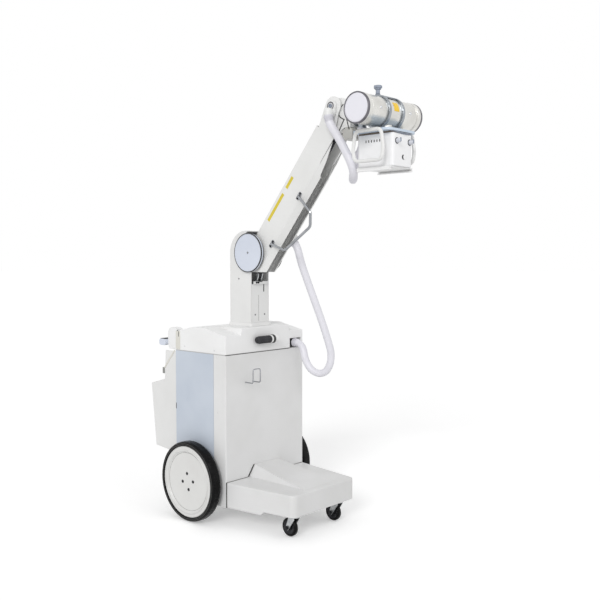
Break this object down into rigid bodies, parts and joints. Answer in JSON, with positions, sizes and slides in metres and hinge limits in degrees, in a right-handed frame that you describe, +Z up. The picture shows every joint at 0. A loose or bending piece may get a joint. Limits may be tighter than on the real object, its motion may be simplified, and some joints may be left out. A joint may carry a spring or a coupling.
{
  "type": "mobile x-ray machine",
  "caption": "Mobile x-ray machine: wheeled cabinet with a column, a self-levelling swing arm and a tilting tube head with collimator and handles.",
  "frame": {"origin": "on the floor under the middle of the machine's bounding box, hoses left out", "axes": "+Z up; the casters, the platform and the tube head point towards -Y, the push handle and the bin towards +Y; +X is the machine's right-hand side when seen along +Y"},
  "size_m": [0.6386, 1.3028, 1.8627],
  "materials": {
    "white_paint": "satin",
    "grey_white_paint": "satin",
    "white_moulding": "matte",
    "blue_panel": "satin",
    "blue_moulding": "matte",
    "grey_moulding": "matte",
    "black_moulding": "matte",
    "tyre": "matte",
    "zinc": "satin",
    "dark_steel": "satin",
    "chrome": "polished",
    "tube_metal": "satin",
    "ring_metal": "satin",
    "hose": "matte"
  },
  "bodies": {
    "machine": {"cabinet_body": "white_paint", "side_panel_left": "blue_panel", "side_panel_right": "blue_panel", "top_cover": "white_moulding", "hose_gland": "black_moulding", "base_platform": "white_paint", "axle_left": "zinc", "axle_right": "zinc", "caster_plate_left": "zinc", "caster_plate_right": "zinc", "column_shell": "white_paint", "column_front_plate": "white_paint", "column_base": "white_paint", "tie_rod_anchor": "zinc", "arm_pivot_pin": "zinc", "hub_cap_left": "blue_moulding", "hub_cap_right": "blue_moulding", "push_bracket_left": "white_moulding", "push_bracket_right": "white_moulding", "push_grip": "blue_moulding", "cassette_bin": "white_paint", "cable_hook": "chrome", "hand_switch": "black_moulding", "switch_clip": "grey_moulding", "hose_arm": "hose"},
    "wheel_left": {"wheel_disc_left": "grey_white_paint", "tyre_left": "tyre"},
    "wheel_right": {"wheel_disc_right": "grey_white_paint", "tyre_right": "tyre"},
    "caster_swivel_left": {"caster_fork_left": "zinc"},
    "caster_wheel_left": {"caster_hub_left": "dark_steel", "caster_tyre_left": "tyre"},
    "caster_swivel_right": {"caster_fork_right": "zinc"},
    "caster_wheel_right": {"caster_hub_right": "dark_steel", "caster_tyre_right": "tyre"},
    "level_rod": {"tie_rod": "dark_steel"},
    "arm": {"arm_beam": "white_paint", "arm_handle": "chrome", "arm_hose_socket": "white_paint"},
    "wrist": {"knuckle": "white_paint", "level_lock": "grey_moulding", "hose_elbow": "white_paint", "hose_head": "hose"},
    "yoke": {"cradle": "ring_metal", "clamp_knob": "grey_moulding"},
    "tube_head": {"tube_housing": "tube_metal", "tube_cap_left": "white_moulding", "tube_cap_right": "white_moulding", "collimator_flange": "blue_moulding", "collimator_box": "white_paint", "collimator_knob_left": "grey_moulding", "collimator_knob_right": "grey_moulding", "accessory_rails": "white_paint", "head_handle_left": "white_paint", "head_handle_right": "white_paint"}
  },
  "joints": [
    {"name": "rear_wheel_left", "type": "hinge", "parent": "machine", "child": "wheel_left", "pos_m": [-0.29, 0.30943, 0.18], "axis": [1, 0, 0], "continuous": true},
    {"name": "rear_wheel_right", "type": "hinge", "parent": "machine", "child": "wheel_right", "pos_m": [0.29, 0.30943, 0.18], "axis": [1, 0, 0], "continuous": true},
    {"name": "caster_turn_left", "type": "hinge", "parent": "machine", "child": "caster_swivel_left", "pos_m": [-0.143, -0.19057, 0.09], "axis": [0, 0, 1], "continuous": true},
    {"name": "caster_roll_left", "type": "hinge", "parent": "caster_swivel_left", "child": "caster_wheel_left", "pos_m": [-0.143, -0.16457, 0.04], "axis": [1, 0, 0], "continuous": true},
    {"name": "caster_turn_right", "type": "hinge", "parent": "machine", "child": "caster_swivel_right", "pos_m": [0.143, -0.19057, 0.09], "axis": [0, 0, 1], "continuous": true},
    {"name": "caster_roll_right", "type": "hinge", "parent": "caster_swivel_right", "child": "caster_wheel_right", "pos_m": [0.143, -0.16457, 0.04], "axis": [1, 0, 0], "continuous": true},
    {"name": "arm_lift", "type": "hinge", "parent": "machine", "child": "arm", "pos_m": [0, 0.16743, 1.2083], "axis": [-1, 0, 0], "range_deg": [-66, 19], "deforming": ["hose_arm"]},
    {"name": "level_rod_swing", "type": "hinge", "parent": "machine", "child": "level_rod", "pos_m": [0, 0.16743, 1.1083], "axis": [-1, 0, 0], "range_deg": [-66, 19]},
    {"name": "wrist_level", "type": "hinge", "parent": "arm", "child": "wrist", "pos_m": [0, -0.31443, 1.80761], "axis": [-1, 0, 0], "range_deg": [-19, 66]},
    {"name": "head_roll", "type": "hinge", "parent": "wrist", "child": "yoke", "pos_m": [0, -0.4, 1.75811], "axis": [0, 1, 0], "range_deg": [-90, 90], "deforming": ["hose_head"]},
    {"name": "tube_tilt", "type": "hinge", "parent": "yoke", "child": "tube_head", "pos_m": [0, -0.54293, 1.75811], "axis": [-1, 0, 0], "range_deg": [-10, 90]}
  ],
  "couplings": [
    {"joint": "level_rod_swing", "follows": "arm_lift", "ratio": 1},
    {"joint": "wrist_level", "follows": "arm_lift", "ratio": -1}
  ]
}
